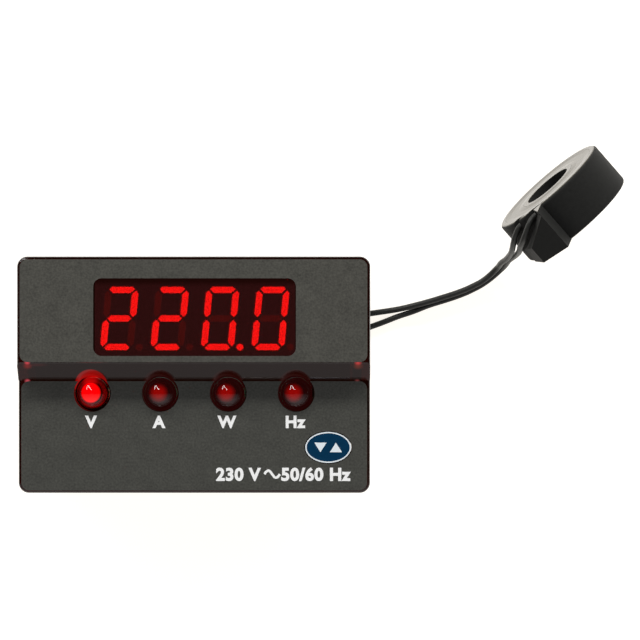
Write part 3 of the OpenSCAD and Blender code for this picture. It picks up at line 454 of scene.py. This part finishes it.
# The unlit bars' faint emission is painted stray light.
coat("unlit_segments", grained("unlit epoxy", (0.08, 0.01, 0.012), 0.4, contrast=0.1,
                               Emission_Color=(3.7, 3.2, 3.4, 1), Emission_Strength=1))
bar_trim, bar_round, sharp_corner = 0.14 * mm, 0.16 * mm, math.radians(50)
for name in ("lit_segments", "unlit_segments"):
    node[name].modifiers.new("joined faces", "WELD").merge_threshold = 0.001 * mm
    smaller = node[name].modifiers.new("cast edge", "DISPLACE")
    smaller.direction, smaller.strength, smaller.mid_level = "NORMAL", -bar_trim, 0
    soft = node[name].modifiers.new("moulded corners", "BEVEL")
    soft.width, soft.segments, soft.limit_method = bar_round, 3, "ANGLE"
    soft.angle_limit = sharp_corner
tinned = grained("tinned wire", (0.62, 0.61, 0.58), 0.3, contrast=0.1, scale=1500, Metallic=1)
coat("display_pins", tinned)


# ---------------------------------------------------------------- lamps
# Four 5 mm lamps of red epoxy, cast round a lead frame whose small cup holds the light chip.
# The dome magnifies the cup into a red disc. The first lamp is lit. The other lamps' lenses and
# dies get a faint painted glow for the room's light caught in the cup.
def turned(name, profile, steps, material, hollow=False):
    """A turned piece about Z from its profile of (radius, height), in metres, with flat ends or,
    if it is hollow, closed round its own section."""
    vertices = [(radius * math.cos(2 * math.pi * i / steps),
                 radius * math.sin(2 * math.pi * i / steps), height)
                for radius, height in profile for i in range(steps)]
    faces = bands(len(profile), steps, hollow)
    if not hollow:
        faces.append(list(reversed(range(steps))))
        faces.append([(len(profile) - 1) * steps + i for i in range(steps)])
    made = solid(name, vertices, faces, material)
    for face in made.data.polygons:
        face.use_smooth = len(face.vertices) == 4 and not hollow
    return made


def lens(name, **glow):
    """Clear red epoxy, with the emission it is given, which on the unlit lamps is painted glow."""
    return grained(name, (0.30, 0.006, 0.005), 0.015, contrast=0.05, scale=600, spread=0.01,
                   relief=0.0002, IOR=1.53, Transmission_Weight=1, **glow)


dull_lens_painted_glow = lens("red lens", Emission_Color=(0.011, 0.001, 0.001, 1), Emission_Strength=1)
lamp_x, lamp_y = lamp_middle("volts")
lit_lens = add_glow(lens("lit red lens"), [
    # the bright disc over the chip, and the upper edge of the dome
    ((lamp_x - 0.2, lamp_y + 0.25, 0), (1, 0.75, 0), 0.5, 1.8, (0.45, 0, 0.001)),
    ((lamp_x - 0.1, lamp_y + 2.3, 0), disc, 0.5, 1.7, (0.28, 0.001, 0.001)),
])
cup_dark = grained("lamp cup", (0.03, 0.004, 0.004), 0.5, contrast=0.1)
# The unlit lamps' dies glow with painted light, not their own.
unlit_die_painted_glow = add_glow(grained("lamp die", (0.2, 0.02, 0.02), 0.5, contrast=0.1),
                    [((0, 0, 0), disc, 0.25, 0.85, (0.44, 0.01, 0))])
die_lit = add_glow(grained("lit lamp die", (0.5, 0.04, 0.03), 0.5, contrast=0.1),
                   [((0, 0, 0), disc, 0.3, 0.95, (4, 0, 0.01))])
cup_r, cup_rise, cup_depth, post_r, axis_r = 0.88 * mm, 3.4 * mm, 0.35 * mm, 0.25 * mm, 0.02 * mm
cup_steps = 32
for name in lamps:
    lit = name == "volts"
    coat(name + "_lamp", lit_lens if lit else dull_lens_painted_glow)
    low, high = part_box(name + "_lamp")
    top = high.z - cup_rise
    # the post, the cone, the rim and the bowl of the cup
    cup = turned(name + "_lamp_cup", [
        (post_r, low.z + 1.6 * mm), (post_r, top - 1.1 * mm), (0.6 * mm, top - 0.9 * mm),
        (cup_r, top - 0.2 * mm), (cup_r, top), (cup_r - 0.06 * mm, top),
        (cup_r - 0.14 * mm, top - cup_depth), (axis_r, top - cup_depth),
    ], cup_steps, cup_dark)
    die = turned(name + "_lamp_die", [
        (cup_r - 0.16 * mm, top - cup_depth + 0.02 * mm), (cup_r - 0.10 * mm, top - 0.10 * mm),
        (0.3 * mm, top - 0.16 * mm), (axis_r, top - 0.18 * mm),
    ], cup_steps, die_lit if lit else unlit_die_painted_glow)
    for piece in (cup, die):
        piece.location = ((low.x + high.x) / 2, (low.y + high.y) / 2, 0)
        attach(piece, "root")
coat("lamp_leads", tinned)

# ---------------------------------------------------------------- boards and pillars
# Two glass-fibre boards with green solder resist, kept apart by four nylon pillars and joined
# by a row of gilt pins in a black strip.
board_green = grained("green board", (0.012, 0.070, 0.030), 0.35, contrast=0.5, scale=700,
                      spread=0.2, relief=0.01, IOR=1.5)
coat("display_board", board_green)
coat("main_board", board_green)
coat("board_pillars", grained("nylon", (0.70, 0.69, 0.63), 0.5, Subsurface_Weight=0.1))
coat("board_header", grained("black strip", (0.014, 0.014, 0.014), 0.5))
coat("header_pins", grained("gilt pins", (0.85, 0.62, 0.25), 0.25, Metallic=1))

# ---------------------------------------------------------------- parts on the main board
# Two chips and a rectifier in black moulding compound, a film capacitor in a yellow box, a
# sleeved electrolytic, a dipped varistor and a coated fuse resistor, all soldered.
chip_black = grained("moulding compound", (0.020, 0.020, 0.021), 0.55, contrast=0.6, scale=4000)
for name in ("controller_chip", "metering_chip", "bridge_rectifier"):
    coat(name, chip_black)
coat("line_capacitor", grained("yellow box", (0.62, 0.42, 0.04), 0.4, contrast=0.15))
coat("filter_capacitor", grained("dark sleeve", (0.015, 0.022, 0.05), 0.3, contrast=0.2))
coat("varistor", grained("blue dip coat", (0.02, 0.09, 0.32), 0.35, contrast=0.3, scale=900,
                         relief=0.02))
coat("fuse_resistor", grained("green coat", (0.16, 0.30, 0.22), 0.45, contrast=0.3, scale=900))

# ---------------------------------------------------------------- rear cover and terminals
# A spark-eroded black cover with four hooks and a shroud round the green two-pole terminal
# block. Tinned contacts, brass clamps and plated slotted screws sit in the block.
coat("rear_cover", grained("black cover", (0.016, 0.015, 0.015), 0.55, contrast=0.6, scale=2200,
                           spread=0.3, relief=0.012, IOR=1.5))
coat("terminal_block", grained("green block", (0.02, 0.16, 0.07), 0.42, contrast=0.2,
                               scale=1800, relief=0.006))
coat("terminal_contacts", tinned)
clamp_brass = grained("tinned brass", (0.55, 0.50, 0.38), 0.34, contrast=0.2, scale=1200,
                      Metallic=1)
screw_steel = grained("plated steel", (0.58, 0.58, 0.55), 0.28, contrast=0.2, scale=1500,
                      Metallic=1)
for side in ("left", "right"):
    coat("clamp_" + side, clamp_brass)
    coat("clamp_screw_" + side, screw_steel)

# ---------------------------------------------------------------- current sensor
# A ring transformer: a black moulded case with a boss for its leads, the wound core inside,
# and dark brown resin poured over the winding, which sets glossy and a little uneven.
sensor_middle = Vector((58.16, 27.17, 10.211)) * mm
sensor_axis = Vector((-0.66101, 0.7367, 0.14263))
sensor_half_t, well_r, hub_r = 3.7 * mm, 8.75 * mm, 4.95 * mm
film_start, film_end = 0.12 * mm, 0.04 * mm
resin_brown = (0.038, 0.031, 0.017)
sensor_black = grained("black sensor case", (0.0175, 0.0175, 0.0165), 0.65, contrast=0.5,
                       scale=1800, spread=0.2, relief=0.004, Specular_IOR_Level=0.1,
                       Coat_Roughness=0.12, Coat_IOR=1.3)


def mixed(tree, kind, share, first, second):
    """A mix of two values, FLOAT or RGBA, from the first at a share of 0 to the second at 1."""
    made = tree.nodes.new("ShaderNodeMix")
    made.data_type = kind
    start, result = (2, 0) if kind == "FLOAT" else (6, 2)
    for i, given in ((0, share), (start, first), (start + 1, second)):
        feed(tree, made.inputs[i], given)
    return made.outputs[result]


# A film of the resin covers the rims of the case's face.
tree = sensor_black.node_tree
shader = tree.nodes["Principled BSDF"]
spot = tree.nodes.new("ShaderNodeTexCoord").outputs["Object"]
along = worked_out(tree, "VectorMath", "DOT_PRODUCT",
                   worked_out(tree, "VectorMath", "SUBTRACT", spot, sensor_middle), sensor_axis)
film = faded(tree, along, sensor_half_t - film_start, sensor_half_t - film_end, 0, 1, "LINEAR")
feed(tree, shader.inputs["Coat Weight"], film)
feed(tree, shader.inputs["Base Color"],
     mixed(tree, "RGBA", film, tree.nodes["grain"].outputs["Colour"], (*resin_brown, 1)))
coat("sensor_case", sensor_black)
resin = grained("potting resin", resin_brown, 0.12, contrast=0.9, scale=320, spread=0.2,
                relief=0.01, IOR=1.3)
coat("sensor_potting", resin)
# The resin creeps up the walls of the well, in a thin wedge round its rim and round the hub.
rim_gap, creep_w, creep_low, creep_high = 0.03 * mm, 1.2 * mm, -0.085 * mm, -0.01 * mm
for name, profile in (
    ("outer_meniscus", [(well_r - creep_w, creep_low), (well_r - rim_gap, creep_low),
                        (well_r - rim_gap, creep_high)]),
    ("inner_meniscus", [(hub_r + rim_gap, creep_low), (hub_r + creep_w, creep_low),
                        (hub_r + rim_gap, creep_high)]),
):
    meniscus = turned(name, [(radius, sensor_half_t + height) for radius, height in profile], 96,
                      resin, hollow=True)
    meniscus.data.transform(Matrix.Translation(sensor_middle)
                            @ sensor_axis.to_track_quat("Z", "Y").to_matrix().to_4x4())
    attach(meniscus, "root")
coat("sensor_core", grained("wound strip core", (0.32, 0.32, 0.33), 0.4, Metallic=1))
coat("sensor_winding", grained("enamelled wire", (0.55, 0.18, 0.04), 0.3, contrast=0.3,
                               scale=3000, Metallic=1))

# ---------------------------------------------------------------- table and light
# A plain white table under soft light: a broad low strip beyond the display, a pale wall on
# the near side and two slim strips at the upper left that give the domes their highlights.
table_half = 0.6
table_white = grained("white table", (0.45, 0.45, 0.45), 0.7, contrast=0.02, scale=300,
                      Emission_Color=(1, 0.955, 0.885, 1), Emission_Strength=0.95)
table = solid("table", [(x * table_half, y * table_half, 0)
                        for x, y in ((-1, -1), (1, -1), (1, 1), (-1, 1))],
              [(0, 1, 2, 3)], table_white)
table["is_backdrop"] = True


def towards(azimuth, elevation, distance):
    """The point at a distance from the face. Azimuth is from +Y towards +X, in degrees."""
    a, e = math.radians(azimuth), math.radians(elevation)
    return Vector((math.sin(a) * math.cos(e), math.cos(a) * math.cos(e), math.sin(e))) * distance


def strip_light(name, start, end, width, radiance, **seen_by):
    """A rectangular light between two points about the face, turned towards the face."""
    along = end - start
    middle = (start + end) / 2
    data = bpy.data.lights.new(name, "AREA")
    data.shape = "RECTANGLE"
    data.size, data.size_y = along.length, width
    data.energy = radiance * math.pi * along.length * width
    light = added(name, data)
    light.location = Vector((0, 0, face_z)) + middle
    x_axis = along.normalized()
    z_axis = (middle - x_axis * middle.dot(x_axis)).normalized()
    y_axis = z_axis.cross(x_axis)
    light.rotation_euler = Matrix((x_axis, y_axis, z_axis)).transposed().to_euler()
    light.visible_camera = False
    for kind, seen in seen_by.items():
        setattr(light, "visible_" + kind, seen)


broad, broad_half = towards(0, 22.8, 1.2), Vector((3, 0, 0))
strip_light("far_strip", broad - broad_half, broad + broad_half, 0.15, 25.5, glossy=False)
corner = towards(-31, 19, 1)
strip_light("upright_strip", corner, towards(-20, 64, 1), 0.09, 12, diffuse=False)
strip_light("slanted_strip", corner, towards(-57, 39, 1), 0.09, 12, diffuse=False)

world = bpy.data.worlds.new("studio")
bpy.context.scene.world = world
world.use_nodes = True
sky = world.node_tree
sky.nodes.clear()
way = sky.nodes.new("ShaderNodeSeparateXYZ")
feed(sky, way.inputs[0], sky.nodes.new("ShaderNodeTexCoord").outputs["Generated"])
near_wall = faded(sky, way.outputs["Y"], -0.14, -0.06, 0.65, 0.04)
by_height = faded(sky, way.outputs["Z"], -0.05, 0.45, 0.45, 1.0)
mirrored = faded(sky, way.outputs["Y"], -1, -0.05, 1.25, 0.3)
rays = sky.nodes.new("ShaderNodeLightPath").outputs
room = worked_out(sky, "Math", "MULTIPLY",
                  worked_out(sky, "Math", "MULTIPLY", near_wall, by_height),
                  mixed(sky, "FLOAT", rays["Is Glossy Ray"], 1, mirrored))
seen_behind_all = 0.95
background = sky.nodes.new("ShaderNodeBackground")
background.inputs["Color"].default_value = (1, 1, 1, 1)
feed(sky, background.inputs["Strength"],
     mixed(sky, "FLOAT", rays["Is Camera Ray"], room, seen_behind_all))
feed(sky, sky.nodes.new("ShaderNodeOutputWorld").inputs["Surface"],
     background.outputs["Background"])

low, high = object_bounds()
